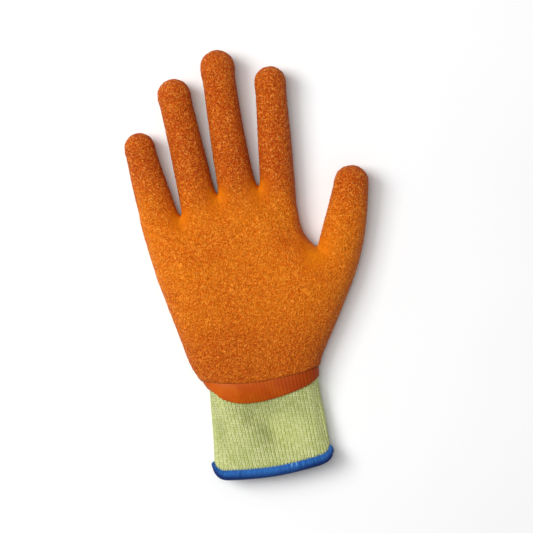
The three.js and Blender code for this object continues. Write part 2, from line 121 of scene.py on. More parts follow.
def cage_of(nodes):
    """One mesh of quads from the solids of some nodes, closed over the small gaps between them."""
    whole = bmesh.new()
    for number, node in enumerate(nodes):
        joined = quads_of(node)
        joined.polygons.foreach_set("material_index", [number] * len(joined.polygons))
        whole.from_mesh(joined)
        bpy.data.meshes.remove(joined)
    if len(nodes) > 1:
        bmesh.ops.remove_doubles(whole, verts=whole.verts, dist=JOINT_GAP)
        walls_inside = [f for f in whole.faces if sum(len(e.link_faces) > 2 for e in f.edges) > 1]
        bmesh.ops.delete(whole, geom=walls_inside, context="FACES")
    quads = sum(len(f.verts) == 4 for f in whole.faces)
    open_edges = sum(len(e.link_faces) != 2 for e in whole.edges)
    print(nodes[0], "cage:", len(whole.faces), "faces,", quads, "quads,", open_edges, "open edges")
    return whole


def split_long_rows(cage, longest):
    """Cuts each row of quads that is longer than the given length into equal, shorter rows."""
    parent = {}

    def leader(edge):
        while parent.setdefault(edge, edge) != edge:
            edge = parent[edge]
        return edge

    for face in cage.faces:
        if len(face.edges) == 4:
            e = list(face.edges)
            for a, b in ((e[0], e[2]), (e[1], e[3])):
                parent[leader(a)] = leader(b)
    rows = {}
    for edge in cage.edges:
        rows.setdefault(leader(edge), []).append(edge)
    by_cuts = {}
    for edges in rows.values():
        cuts = round(sum(e.calc_length() for e in edges) / len(edges) / longest) - 1
        if cuts > 0 and len(edges) > 3:
            by_cuts.setdefault(cuts, []).extend(edges)
    for cuts, edges in by_cuts.items():
        alive = [e for e in edges if e.is_valid]
        bmesh.ops.subdivide_edges(cage, edges=alive, cuts=cuts, use_grid_fill=True)


def subdivided(mesh):
    """The mesh after Catmull-Clark subdivision."""
    holder = bpy.data.objects.new("holder", mesh)
    bpy.context.collection.objects.link(holder)
    smoother = holder.modifiers.new("smooth", "SUBSURF")
    smoother.levels = SUBDIVISIONS
    smoother.render_levels = SUBDIVISIONS
    evaluated = holder.evaluated_get(bpy.context.evaluated_depsgraph_get())
    result = bpy.data.meshes.new_from_object(evaluated)
    bpy.data.objects.remove(holder)
    return result


def iron(form):
    """Smooths the places where overshooting rows have folded a surface sharply onto itself."""
    folded = {v for e in form.edges if e.calc_face_angle(0) > FOLDED_ANGLE for v in e.verts}
    for _ in range(IRON_REACH):
        folded |= {e.other_vert(v) for v in folded for e in v.link_edges}
    for _ in range(IRON_ROUNDS):
        bmesh.ops.smooth_vert(
            form, verts=list(folded), factor=0.5, use_axis_x=True, use_axis_y=True, use_axis_z=True
        )


def coordinates(mesh):
    flat = np.empty(len(mesh.vertices) * 3)
    mesh.vertices.foreach_get("co", flat)
    return flat.reshape(-1, 3)


def normals_of(mesh):
    flat = np.empty(len(mesh.vertices) * 3)
    mesh.vertices.foreach_get("normal", flat)
    return flat.reshape(-1, 3)


def set_coordinates(mesh, points):
    mesh.vertices.foreach_set("co", np.asarray(points, dtype=float).ravel())
    mesh.update()


def above_floor(points):
    """The points with none of them below the floor that the glove lies on."""
    points = np.array(points)
    points[:, 2] = np.maximum(points[:, 2], 0)
    return points


def shortest_edges(mesh, points):
    """The length of the shortest edge at each point of a mesh, not counting those across a rim."""
    ends = np.empty(len(mesh.edges) * 2, dtype=int)
    mesh.edges.foreach_get("vertices", ends)
    first, second = ends.reshape(-1, 2).T
    lengths = np.linalg.norm(points[first] - points[second], axis=1)
    lengths[lengths < RIM_EDGE] = np.inf
    shortest = np.full(len(points), np.inf)
    np.minimum.at(shortest, first, lengths)
    np.minimum.at(shortest, second, lengths)
    return shortest


def smooth_piece(name, nodes, row_length=None):
    """A smooth mesh through the corners of the solids, as an object that stands for those nodes."""
    cage = cage_of(nodes)
    cage_mesh = bpy.data.meshes.new(name + "_cage")
    cage.to_mesh(cage_mesh)
    corners = coordinates(cage_mesh)
    allowed = SHIFT_SHARE * shortest_edges(cage_mesh, corners)
    shift = np.zeros_like(corners)
    for _ in range(SHIFT_ROUNDS):
        shift += corners - coordinates(subdivided(cage_mesh))[: len(corners)]
        too_long = np.maximum(np.linalg.norm(shift, axis=1) / allowed, 1)
        shift /= too_long[:, None]
        set_coordinates(cage_mesh, corners + shift)
    cage.free()
    mesh = subdivided(cage_mesh)
    fine = bmesh.new()
    fine.from_mesh(mesh)
    if row_length:
        split_long_rows(fine, row_length)
    iron(fine)
    fine.to_mesh(mesh)
    fine.free()
    mesh.name = name
    mesh.shade_smooth()
    piece = bpy.data.objects.new(name, mesh)
    bpy.context.collection.objects.link(piece)
    bpy.data.meshes.remove(cage_mesh)
    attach(piece, "root")
    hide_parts(*nodes)
    print(name, "has", sum(len(p.vertices) - 2 for p in mesh.polygons), "triangles")
    return piece


# %% [markdown]
# The cuff is a ribbed tube: 72 rows of stitches, called wales, run from the hem towards the hand.
# Their place can't come from x alone, because the tube turns under at both sides. Each slice of the
# tube is taken as two flat layers joined by half circles, like a running track. The way round that
# track gives a point its wale. The count starts in the middle of the back, and a fold or a dent
# doesn't disturb it, so the wales run straight up from the hem.

# %% Counting the wales round the cuff
WALES_AROUND = 72
WALE_PITCH = 2.1 * MM
COURSE_PITCH = 1.45 * MM
SLICES_Y = np.linspace(-104, -60, 12) * MM
SLICE_REACH = 8 * MM
TRACK_RADIUS = 7 * MM


def smooth_step(value, low, high):
    t = np.clip((value - low) / (high - low), 0, 1)
    return t * t * (3 - 2 * t)


cuff_points = coordinates(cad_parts["knit_cuff"].data)
slice_sides = []
for y in SLICES_Y:
    near = cuff_points[np.abs(cuff_points[:, 1] - y) < SLICE_REACH]
    slice_sides.append((near[:, 0].min(), near[:, 0].max()))
slice_sides = np.array(slice_sides)
middle_line = np.polyfit(SLICES_Y, slice_sides.mean(axis=1), 1)
half_line = np.polyfit(SLICES_Y, (slice_sides[:, 1] - slice_sides[:, 0]) / 2, 1)
hem_middle, hand_middle = np.polyval(middle_line, SLICES_Y[[0, -1]])
print("middle of the cuff moves from", round(hem_middle / MM, 1), "to", round(hand_middle / MM, 1))


def wale_number(points):
    """How many wales a point lies from the middle of the back, less than zero on the left."""
    y = np.minimum(points[:, 1], SLICES_Y[-1])
    away = points[:, 0] - np.polyval(middle_line, y)
    straight = np.polyval(half_line, y) - TRACK_RADIUS
    inner = np.minimum(np.abs(away), straight)
    turned = np.arctan2(np.abs(away) - inner, TRACK_RADIUS - points[:, 2])
    back = np.where(points[:, 2] > TRACK_RADIUS, straight + (straight - inner), inner)
    way = back + TRACK_RADIUS * turned
    whole = 4 * straight + math.tau * TRACK_RADIUS
    return np.sign(away) * way / whole * WALES_AROUND


# %% [markdown]
# The hand and the fingers are knitted in plain rows. Seen from the back, the wales run straight up
# the hand and then along each finger, so each finger gets a line fitted through its solid, and the
# wales lean with that line from the finger's root on. Round the sides they go on down by the height.

# %% Wales along the hand and the fingers
def fitted_line(node):
    """The lean of a finger, and where it starts, from a straight line through its solid."""
    points = coordinates(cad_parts[node].data)
    lean, middle = np.polyfit(points[:, 1], points[:, 0], 1)
    return lean, middle, points[:, 1].min()


finger_lines = {node: fitted_line(node) for node in KNIT_SECTIONS[2:]}
for node, line in finger_lines.items():
    print(node, "leans", round(math.degrees(math.atan(line[0])), 1), "degrees")


def wales_across(points, section):
    """The wale number on a section of the knit."""
    if section == 0:
        return wale_number(points)
    if section == 1:
        across = points[:, 0] - hand_middle
        return (across + np.sign(across) * points[:, 2]) / WALE_PITCH
    lean, middle, root = finger_lines[KNIT_SECTIONS[section]]
    axis = middle + lean * points[:, 1]
    away = points[:, 0] - axis
    start = middle + lean * root - hand_middle
    return (start + away + np.sign(away) * points[:, 2]) / WALE_PITCH


def lay_stitches(mesh, sections):
    """A map of wales and courses on a mesh, whose faces each belong to one section of the knit."""
    points = coordinates(mesh)
    numbers = {s: wales_across(points, s) for s in np.unique(sections)}
    layer = mesh.uv_layers.new(name="stitches")
    loops = np.empty((len(mesh.loops), 2))
    corner_of = np.empty(len(mesh.loops), dtype=int)
    mesh.loops.foreach_get("vertex_index", corner_of)
    for face in mesh.polygons:
        span = slice(face.loop_start, face.loop_start + face.loop_total)
        wales = numbers[sections[face.index]][corner_of[span]]
        if wales.max() - wales.min() > WALES_AROUND / 2:
            wales = np.where(wales < 0, wales + WALES_AROUND, wales)
        loops[span, 0] = wales
    loops[:, 1] = points[corner_of, 1] / COURSE_PITCH
    layer.data.foreach_set("uv", loops.ravel())


# %% [markdown]
# The knit is one seamless piece, cuff and fingers together. The cuff isn't smooth: where the stiff
# latex ends the knit sinks into a hollow, which falls off to the right of a slanting line and fades
# towards the hem. Cloth like this could be simulated, but a fold that was photographed has one
# certain place, so it is pressed into the upper layer along short paths instead. Each path has its
# depths in millimetres, and how far it reaches on its steep and on its soft side. A depth below zero
# raises the knit, as it does beside the deep fold.

# %% Folds of the cuff
FOLD_PATHS = [
    ([(-6, -79), (5, -86), (13, -92), (17, -98), (18, -106)], (2.2, 5.8, 7.4, 7.0, 0.8), 5.6, 16.0),
    ([(-12, -85), (-3, -91), (3, -97), (5, -102)], (-1.4, -2.4, -2.2, -1.0), 5.5, 8.0),
    ([(22, -87), (30, -87), (38, -84)], (0.0, 0.9, 1.0), 8.0, 8.0),
    ([(40, -70), (42, -84), (45, -98), (49, -108)], (0, 0.8, 0.9, 0.2), 1.6, 3.0),
    ([(24, -96), (27, -102), (28, -109)], (0.2, 0.8, 0.0), 3.0, 5.0),
    ([(-14, -90), (-12, -100), (-10, -108)], (0.1, 0.6, 0.1), 3.0, 3.5),
]
FOLDS_END = (-84, -70)
PATH_BLEND = 2.5
SIDE_BLEND = 0.7
GROOVE = 0.16 * MM
RIB_STEP = 0.45 * MM
RIBS_END_ABOVE = (-62, -52)
UPPER_FROM = 5 * MM
UPPER_FULL = 9 * MM


def groove_depth(points):
    """How deep the groove between two wales is at each point. The crest of a wale has none."""
    return GROOVE * (0.5 - 0.5 * np.cos(math.tau * (wale_number(points) - 0.5)))


def split_columns(mesh, longest):
    """Cuts the faces of the cuff into columns narrow enough to carry the ribs."""
    form = bmesh.new()
    form.from_mesh(mesh)
    wales = wale_number(coordinates(mesh))
    on_cuff = [e for e in form.edges if any(f.material_index == 0 for f in e.link_faces)]
    by_cuts = {}
    for edge in on_cuff:
        apart = abs(wales[edge.verts[0].index] - wales[edge.verts[1].index])
        apart = min(apart, WALES_AROUND - apart) * WALE_PITCH
        length = edge.calc_length()
        cuts = round(length / longest) - 1
        if cuts > 0 and apart > length / 2:
            by_cuts.setdefault(cuts, []).append(edge)
    for cuts, edges in sorted(by_cuts.items()):
        alive = [e for e in edges if e.is_valid]
        bmesh.ops.subdivide_edges(form, edges=alive, cuts=cuts, use_grid_fill=True)
    form.to_mesh(mesh)
    form.free()


def fold_depth(points):
    """How far the folds press the upper layer of the cuff down at each point."""
    depth = np.zeros(len(points))
    flat = points[:, :2] / MM
    for path, depths, steep, soft in FOLD_PATHS:
        distances = []
        pressed = []
        for i in range(len(path) - 1):
            start = np.array(path[i])
            along = np.array(path[i + 1]) - start
            t = np.clip((flat - start) @ along / (along @ along), 0, 1)
            away = flat - start - t[:, None] * along
            distance = np.maximum(np.hypot(away[:, 0], away[:, 1]), 1e-6)
            side = (along[0] * away[:, 1] - along[1] * away[:, 0]) / np.hypot(*along) / distance
            width = steep + (soft - steep) * smooth_step(side, -SIDE_BLEND, SIDE_BLEND)
            distances.append(distance)
            depth_here = depths[i] * (1 - t) + depths[i + 1] * t
            pressed.append(depth_here * np.exp(-((distance / width) ** 2)))
        shares = np.exp((np.min(distances, axis=0) - distances) / PATH_BLEND)
        depth += (shares * pressed).sum(axis=0) / shares.sum(axis=0) * MM
    depth *= 1 - smooth_step(points[:, 1] / MM, *FOLDS_END)
    return depth * smooth_step(points[:, 2], UPPER_FROM, UPPER_FULL)


knit_glove = smooth_piece("knit_glove", KNIT_SECTIONS)
knit_mesh = knit_glove.data
split_columns(knit_mesh, RIB_STEP)
knit_face_sections = np.empty(len(knit_mesh.polygons), dtype=int)
knit_mesh.polygons.foreach_get("material_index", knit_face_sections)
knit_mesh.polygons.foreach_set("material_index", np.zeros(len(knit_mesh.polygons), dtype=int))
print("faces of each knit section:", np.bincount(knit_face_sections))
lay_stitches(knit_mesh, knit_face_sections)
knit_points = coordinates(knit_mesh)
groove_share = 1 - smooth_step(knit_points[:, 1] / MM, *RIBS_END_ABOVE)
knit_points -= normals_of(knit_mesh) * (groove_share * groove_depth(knit_points))[:, None]
knit_points[:, 2] -= fold_depth(knit_points)
set_coordinates(knit_mesh, above_floor(knit_points))
print("ribbed knit has", sum(len(p.vertices) - 2 for p in knit_mesh.polygons), "triangles")

# %% [markdown]
# The palm is dipped in foamed latex, and the wet skin shrinks into crinkles a few millimetres long.
# The large ones are raised in the mesh itself, so that the outline is rough too, and the fine ones
# come from the material. Only the outer skin is raised. It is told from the inner one by its
# distance from the knit. At the webs between the fingers the latex is stretched smoother.

# %% The crinkled coat
WEBS = [(-38.3, 27.7), (-16.9, 40.7), (6.5, 45.3), (38.8, 10.7)]
WEB_REACH = [4.5, 5.5, 5.5, 7.0]
WEB_UP = 0.9
WEB_DOWN = 1.7
WEB_SMOOTHNESS = 0.7
LOWER_PALM = (-62, -8)
FINGER_START = (22, 56)
SIDE_SHADE_SHARE = 0.55
COAT_ROW = 0.85 * MM
SKIN_FROM = 0.55 * MM
SKIN_FULL = 1.2 * MM
CRINKLE_HEIGHT = 0.24 * MM
CRINKLE_LENGTH = 2.0 * MM
SMALL_HEIGHT = 0.08 * MM
SMALL_LENGTH = 1.3 * MM
RIDGE_SHARPNESS = 2.2


def tree_of(piece):
    return BVHTree.FromPolygons(
        [v.co.copy() for v in piece.data.vertices], [list(p.vertices) for p in piece.data.polygons]
    )


def web_share(points):
    """1 at the webs between the fingers, 0 away from them. The patch reaches down into the palm."""
    share = np.zeros(len(points))
    for (x, y), reach in zip(WEBS, WEB_REACH):
        across = (points[:, 0] / MM - x) / reach
        up = points[:, 1] / MM - y
        along = np.where(up > 0, up / (WEB_UP * reach), up / (WEB_DOWN * reach))
        share = np.maximum(share, np.exp(-(across**2) - along**2))
    return share


def painted_side_shade(mesh):
    """Painted shade: 0 where flat, more where a surface stands upright, most on sides towards the thumb.
    """
    normals = normals_of(mesh)
    return (1 - np.abs(normals[:, 2])) * (SIDE_SHADE_SHARE + (1 - SIDE_SHADE_SHARE) * normals[:, 0])


def ridged(place, length):
    """Wrinkles as they are seen in crumpled skin: sharp ridges with round hollows between them."""
    return 1 - RIDGE_SHARPNESS * abs(noise.noise(Vector(place) / length))


def crinkle_lift(point):
    """How far the large and the small crinkles raise the skin at a point."""
    large = CRINKLE_HEIGHT * max(0, ridged(point, CRINKLE_LENGTH))
    return large + SMALL_HEIGHT * ridged(point[::-1], SMALL_LENGTH)


def raise_skin(piece, amount):
    """Raises the outer skin of a piece by crinkles, each point by its own amount from 0 to 1."""
    mesh = piece.data
    points = coordinates(mesh)
    away = np.array([knit_tree.find_nearest(Vector(p))[3] for p in points])
    outer = smooth_step(away, SKIN_FROM, SKIN_FULL) * amount
    lift = np.array([crinkle_lift(p) for p in points])
    points += normals_of(mesh) * (lift * outer)[:, None]
    set_coordinates(mesh, above_floor(points))
    return outer


def paint(piece, name, columns):
    """Keeps up to three shares from 0 to 1 at each point, for the material to read as one colour."""
    layer = piece.data.color_attributes.new(name=name, type="FLOAT_COLOR", domain="POINT")
    colours = np.ones((len(piece.data.vertices), 4))
    for i, column in enumerate(columns):
        colours[:, i] = column
    layer.data.foreach_set("color", colours.ravel())


knit_tree = tree_of(knit_glove)
latex_coat = smooth_piece("latex_coat", ["latex_coating"], COAT_ROW)
coat_points = coordinates(latex_coat.data)
coat_webs = web_share(coat_points)
coat_lower_palm_shade = 1 - smooth_step(coat_points[:, 1] / MM, *LOWER_PALM)
coat_fingers = smooth_step(coat_points[:, 1] / MM, *FINGER_START)
coat_side_shade = painted_side_shade(latex_coat.data)
coat_outer = raise_skin(latex_coat, 1 - WEB_SMOOTHNESS * coat_webs)
# Painted shade for the upright sides is kept at the points, beside the zones.
paint(latex_coat, "side_shade", [coat_side_shade, coat_side_shade, coat_side_shade])
paint(latex_coat, "zones", [coat_webs, coat_lower_palm_shade, coat_fingers])
print("outer skin:", round(float((coat_outer > 0.5).mean()), 2), "of the points of the coat")

# %% [markdown]
# Below the crinkled coat a thin first dip of latex shows as a smooth band. It lies so close on the
# ribs of the cuff that they show through it, and it ends in small teeth, because it ran a little
# further down in each groove between two wales.

# %% The smooth band and its toothed edge
TOOTH = 0.55 * MM
TOOTH_REACH = 1.6 * MM
EDGE_STEP = 1.0 * MM
BAND_ROW = 0.45 * MM

latex_band = smooth_piece("latex_band", ["latex_margin"], BAND_ROW)
band_points = coordinates(latex_band.data)
band_wales = wale_number(band_points)
columns = np.round(band_points[:, 0] / EDGE_STEP).astype(int)
lowest = {c: band_points[columns == c, 1].min() for c in np.unique(columns)}
above_edge = band_points[:, 1] - np.array([lowest[c] for c in columns])
near_edge = np.exp(-((above_edge / TOOTH_REACH) ** 2))
band_points[:, 1] -= TOOTH * near_edge * (0.5 + 0.5 * np.cos(math.tau * band_wales))
band_points[:, 2] -= fold_depth(band_points)
set_coordinates(latex_band.data, above_floor(band_points))
lay_stitches(latex_band.data, np.zeros(len(latex_band.data.polygons), dtype=int))
print("teeth of", TOOTH / MM, "mm on the lower edge of the band")

# %% [markdown]
# The cut edge of the cuff is bound by an overlock machine. The solid of the hem is a ring whose
# faces form a clean grid, so its rings can be followed from point to point, in rows round the cuff
# and columns round the section. The hem is then drawn in towards its rim, as narrow as it is sewn,
# and a little more where the cuff turns under.

# %% The grid of the hem
def grid_of(mesh):
    """The points of a ring of quads as rows round the cuff and columns round the hem's section."""
    form = bmesh.new()
    form.from_mesh(mesh)
    form.verts.ensure_lookup_table()

    def straight_on(vert, edge):
        faces = set(edge.link_faces)
        return next(e for e in vert.link_edges if not faces & set(e.link_faces))

    def loop_from(vert, edge):
        found = [vert.index]
        while True:
            vert = edge.other_vert(vert)
            if vert.index == found[0]:
                return found
            found.append(vert.index)
            edge = straight_on(vert, edge)

    start = min(form.verts, key=lambda v: (round(v.co.x / MM, 2), round(v.co.z / MM, 2)))
    loops = sorted((loop_from(start, e) for e in start.link_edges), key=len)
    section, around = loops[0], loops[-1]
    rows = []
    for vertex in section:
        vert = form.verts[vertex]
        if not rows:
            rows.append(around)
            continue
        loops_here = [loop_from(vert, e) for e in vert.link_edges]
        long_loops = [one for one in loops_here if len(one) == len(around)]
        last = form.verts[rows[-1][1]]
        near = {e.other_vert(last).index for e in last.link_edges}
        rows.append(next(one for one in long_loops if one[1] in near))
    form.free()
    return np.array(rows)


HEM_SHARE = 0.74
HEM_SHARE_LOST = 0.14

overlock_edge = smooth_piece("overlock_edge", ["cuff_overlock"])
hem_points = coordinates(overlock_edge.data)
hem_grid = grid_of(overlock_edge.data)
hem_y = hem_points[hem_grid, 1]
rim_y = hem_y.min(axis=0)
straight_end = np.polyval(half_line, SLICES_Y[0]) - TRACK_RADIUS
hem_away = np.abs(hem_points[hem_grid, 0] - hem_middle)
turned_under = smooth_step(hem_away, straight_end, straight_end + TRACK_RADIUS)
share = HEM_SHARE - HEM_SHARE_LOST * turned_under.mean(axis=0)
hem_points[hem_grid, 1] = rim_y + (hem_y - rim_y) * share
set_coordinates(overlock_edge.data, above_floor(hem_points))
print("hem grid:", hem_grid.shape, "of", len(hem_points), "points")

# %% [markdown]
# The overlock thread wraps round the edge hundreds of times. At every third wrap a loop reaches
# further up the knit, which gives the row of teeth. Each wrap is a thin tube with six sides, laid
# over the outer rows of the hem with a slant and pressed into the knit at both ends. Shares for the
# material are kept at its points: the pale yarn ends, the tone of the wrap and the nearness of the
# rim, which steers a painted shade towards the rim.

# %% The overlock thread
WRAPS = 300
THREAD_RADIUS = 0.31 * MM
THREAD_SIDES = 6
THREAD_STEPS = 13
THREAD_TAPER = 0.12
TAPER_POWER = 0.35
SLANT = 1.1
LOOP_EVERY = 3
LOOP_REACH = 1.1 * MM
SHORT_LOOP_SHARE = 0.2
SUNK = 0.1 * MM
LIFT_SHARE = 0.3
KNIT_LIFT_SHARE = 0.6
LOWEST_THREAD = 0.02 * MM
OUTSIDE_FROM = 0.42 * MM
HEM_HEIGHT = 5.5 * MM
PALE_BELOW = 0.42
PALE_ENDS = [(25.7, 26.5), (28.0, 28.8)]
TONE_SEED = 12

away_from_knit = np.array([knit_tree.find_nearest(Vector(p))[3] for p in hem_points])
outside = (away_from_knit[hem_grid] > OUTSIDE_FROM).mean(axis=1) > 0.5
section_size = len(hem_grid)
first = next(i for i in range(section_size) if outside[i] and not outside[i - 1])
rows_in_order = [(first + k) % section_size for k in range(section_size)]
outer_rows = [row for row in rows_in_order if outside[row]]
hem_rows = hem_points[hem_grid[outer_rows]]
rim_row = hem_rows[len(hem_rows) // 2]
columns_around = hem_rows.shape[1]
print("thread runs over", len(outer_rows), "of", section_size, "rows of the hem")


def point_on_rows(row, column):
    """A point of the hem between its rows and columns."""
    row = min(max(row, 0), len(hem_rows) - 1.001)
    r = int(row)
    c = math.floor(column)
    right = (c + 1) % columns_around
    left = c % columns_around
    fr = row - r
    fc = column - c
    a = hem_rows[r, left] * (1 - fc) + hem_rows[r, right] * fc
    b = hem_rows[r + 1, left] * (1 - fc) + hem_rows[r + 1, right] * fc
    return a * (1 - fr) + b * fr


def unit(vector):
    return vector / max(np.linalg.norm(vector), 1e-12)


def laid_on_knit(spot):
    """The place where a thread of the overlock lies on the knit, next to a spot."""
    place, normal, _, _ = knit_tree.find_nearest(Vector(spot))
    return np.array(place + normal * THREAD_RADIUS * KNIT_LIFT_SHARE)


def wrap_path(wrap):
    """The way of one wrap over the hem, its centre, the rim beside it and the way to the next wrap."""
    column = columns_around * wrap / WRAPS
    last = len(hem_rows) - 1
    steps = np.linspace(0, last, THREAD_STEPS)
    path = [point_on_rows(step, column + SLANT * (step / last - 0.5)) for step in steps]
    centre = np.mean(path, axis=0)
    rim = rim_row[int(column) % columns_around]
    reach = LOOP_REACH if wrap % LOOP_EVERY == 0 else LOOP_REACH * SHORT_LOOP_SHARE
    start = laid_on_knit(path[0] + reach * unit(path[0] - rim))
    end = laid_on_knit(path[-1] + reach * unit(path[-1] - rim))
    onward = point_on_rows(0, column + 1) - point_on_rows(0, column)
    return np.array([start] + path + [end]), centre, rim, onward


def pale_at(spot, near_rim):
    """Whether a pale yarn end shows at a spot of the thread."""
    on_top = spot[2] > TRACK_RADIUS and near_rim < PALE_BELOW
    return on_top and any(low < spot[0] / MM < high for low, high in PALE_ENDS)


thread_tones = random.Random(TONE_SEED)
thread_verts = []
thread_faces = []
thread_shares = []
swell = np.sin(np.linspace(THREAD_TAPER, math.pi - THREAD_TAPER, THREAD_STEPS + 2)) ** TAPER_POWER
for wrap in range(WRAPS):
    path, centre, rim, onward = wrap_path(wrap)
    lengthwise = np.gradient(path, axis=0)
    tone = thread_tones.random()
    base = len(thread_verts)
    for spot, direction, width in zip(path, lengthwise, swell):
        tangent = unit(direction)
        side = unit(np.cross(tangent, np.cross(onward, tangent)))
        up = np.cross(tangent, side)
        if np.dot(up, spot - centre) < 0:
            up = -up
        near_rim = 1 - min(abs(spot[1] - rim[1]) / HEM_HEIGHT, 1)
        pale = float(pale_at(spot, near_rim))
        middle = spot + up * (THREAD_RADIUS - SUNK) * LIFT_SHARE
        for k in range(THREAD_SIDES):
            turn = math.tau * k / THREAD_SIDES
            x, y, z = middle + THREAD_RADIUS * width * (math.cos(turn) * side + math.sin(turn) * up)
            thread_verts.append((x, y, max(z, LOWEST_THREAD)))
            thread_shares.append((pale, tone, near_rim))
    for ring in range(base, base + (len(path) - 1) * THREAD_SIDES, THREAD_SIDES):
        for k in range(THREAD_SIDES):
            a = ring + k
            b = ring + (k + 1) % THREAD_SIDES
            thread_faces.append((a, b, b + THREAD_SIDES, a + THREAD_SIDES))
    last_ring = base + (len(path) - 1) * THREAD_SIDES
    thread_faces.append(tuple(base + k for k in reversed(range(THREAD_SIDES))))
    thread_faces.append(tuple(last_ring + k for k in range(THREAD_SIDES)))

thread_mesh = bpy.data.meshes.new("overlock_thread")
thread_mesh.from_pydata(thread_verts, [], thread_faces)
thread_mesh.shade_smooth()
overlock_thread = bpy.data.objects.new("overlock_thread", thread_mesh)
bpy.context.collection.objects.link(overlock_thread)
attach(overlock_thread, "root")
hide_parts("cuff_overlock")
paint(overlock_thread, "threads", np.transpose(thread_shares))
print(WRAPS, "wraps of thread,", sum(len(f) - 2 for f in thread_faces), "triangles")

# %% [markdown]
# The finishes are nodes. A small helper lays them, so that a formula reads as one line. Two effects
# serve more than one material and so are node groups: the knitted stitches, which also press through
# the thin band, and the crinkles, which are strong on the coat and faint on the thin band.

# %% A helper for shader nodes
class Net:
    """Lays nodes in one tree."""

    def __init__(self, tree):
        self.tree = tree

    def node(self, kind, inputs=None, **settings):
        made = self.tree.nodes.new(kind)
        for key, value in settings.items():
            setattr(made, key, value)
        for key, value in (inputs or {}).items():
            self.feed(made.inputs[key], value)
        return made

    def feed(self, socket, value):
        if isinstance(value, bpy.types.NodeSocket):
            self.tree.links.new(value, socket)
        else:
            socket.default_value = value

    def calc(self, operation, *values, clamp=False):
        inputs = dict(enumerate(values))
        return self.node("ShaderNodeMath", inputs, operation=operation, use_clamp=clamp).outputs[0]

    def shift(self, operation, *values):
        inputs = dict(enumerate(values))
        return self.node("ShaderNodeVectorMath", inputs, operation=operation).outputs[0]

    def times(self, value, share):
        return self.calc("MULTIPLY", value, share)

    def mix(self, share, first, second):
        inputs = {0: share, 6: first, 7: second}
        return self.node("ShaderNodeMix", inputs, data_type="RGBA").outputs[2]

    def smooth(self, value, low, high, start=0.0, end=1.0):
        inputs = {0: value, 1: low, 2: high, 3: start, 4: end}
        return self.node("ShaderNodeMapRange", inputs, interpolation_type="SMOOTHSTEP").outputs[0]

    def noise(self, vector, scale, detail=2.0, roughness=0.5, distortion=0.0):
        inputs = {"Vector": vector, "Scale": scale, "Detail": detail, "Roughness": roughness}
        inputs["Distortion"] = distortion
        return self.node("ShaderNodeTexNoise", inputs).outputs["Fac"]

    def attribute(self, name, output="Color"):
        return self.node("ShaderNodeAttribute", attribute_name=name).outputs[output]

    def channels(self, colour):
        return self.node("ShaderNodeSeparateColor", {0: colour}).outputs

    def millimetres(self):
        """The place on the object, in millimetres."""
        place = self.node("ShaderNodeTexCoord").outputs["Object"]
        return self.shift("MULTIPLY", place, (1 / MM,) * 3)

    def bump(self, height, strength, distance):
        inputs = {"Strength": strength, "Distance": distance, "Height": height}
        return self.node("ShaderNodeBump", inputs).outputs[0]


def paint_of(red, green, blue):
    """A colour as it is seen on a screen, from 0 to 255, as light that nodes can use."""
    share = [c / 255 for c in (red, green, blue)]
    return tuple(c / 12.92 if c <= 0.04045 else ((c + 0.055) / 1.055) ** 2.4 for c in share) + (1.0,)


def new_group(name, inputs, outputs):
    """An empty node group with named inputs and outputs."""
    tree = bpy.data.node_groups.new(name, "ShaderNodeTree")
    for title, kind, value in inputs:
        socket = tree.interface.new_socket(title, in_out="INPUT", socket_type=kind)
        if value is not None:
            socket.default_value = value
    for title, kind in outputs:
        tree.interface.new_socket(title, in_out="OUTPUT", socket_type=kind)
    net = Net(tree)
    return net, net.node("NodeGroupInput").outputs, net.node("NodeGroupOutput").inputs


def new_material(name):
    """An empty material, its helper and its Principled shader."""
    material = bpy.data.materials.new(name)
    material.use_nodes = True
    net = Net(material.node_tree)
    shader = material.node_tree.nodes["Principled BSDF"]
    return material, net, shader


print("middle grey is", round(paint_of(128, 128, 128)[0], 3), "as light")


# %% [markdown]
# A knitted row is a chain of loops, and each loop shows two legs that lean together like the letter
# V. With wales and courses counted in the stitch map, a stitch fills one square of it. The middle
# of the square is a low slit, marked for painted shade, the legs lie left and right of it, and they
# rise towards the top.

# %% The stitches
stitches, given, out = new_group(
    "knitted_stitches",
    [("Stitch Map", "NodeSocketVector", None), ("Ribbing", "NodeSocketFloat", 0.5)],
    [("Height", "NodeSocketFloat"), ("Groove Shade", "NodeSocketFloat"), ("Stitch Shade", "NodeSocketFloat")],
)
parts = stitches.node("ShaderNodeSeparateXYZ", {0: given["Stitch Map"]}).outputs
wale = parts["X"]
course = parts["Y"]
across = stitches.calc("SUBTRACT", stitches.calc("FRACT", wale), 0.5)
from_middle = stitches.calc("ABSOLUTE", across)
leaning = stitches.calc("SUBTRACT", course, stitches.times(from_middle, 1.3))
leg_round = stitches.calc("SINE", stitches.times(from_middle, math.tau))
leg_round = stitches.calc("POWER", stitches.calc("MAXIMUM", leg_round, 0.0), 0.55)
turn_of_yarn = stitches.calc("COSINE", stitches.times(leaning, math.tau))
loop_height = stitches.calc("MULTIPLY_ADD", turn_of_yarn, 0.5, 0.5)
rib_height = stitches.calc("COSINE", stitches.times(across, math.tau))
rib_height = stitches.calc("MULTIPLY_ADD", rib_height, 0.5, 0.5)
loops_only = stitches.times(leg_round, stitches.calc("MULTIPLY_ADD", loop_height, 0.6, 0.4))
ribs_too = stitches.calc("MULTIPLY_ADD", rib_height, given["Ribbing"], loops_only)
height = stitches.calc("DIVIDE", ribs_too, stitches.calc("ADD", given["Ribbing"], 1.0))
stitches.feed(out["Height"], height)
stitches.feed(out["Groove Shade"], stitches.smooth(height, 0.42, 0.08))
leg = stitches.calc("FLOOR", stitches.times(wale, 2.0))
row = stitches.calc("FLOOR", leaning)
cell = stitches.node("ShaderNodeCombineXYZ", {0: leg, 1: row}).outputs[0]
shade = stitches.node("ShaderNodeTexWhiteNoise", {"Vector": cell}).outputs["Value"]
stitches.feed(out["Stitch Shade"], shade)
print("stitch group has", len(stitches.tree.nodes), "nodes")

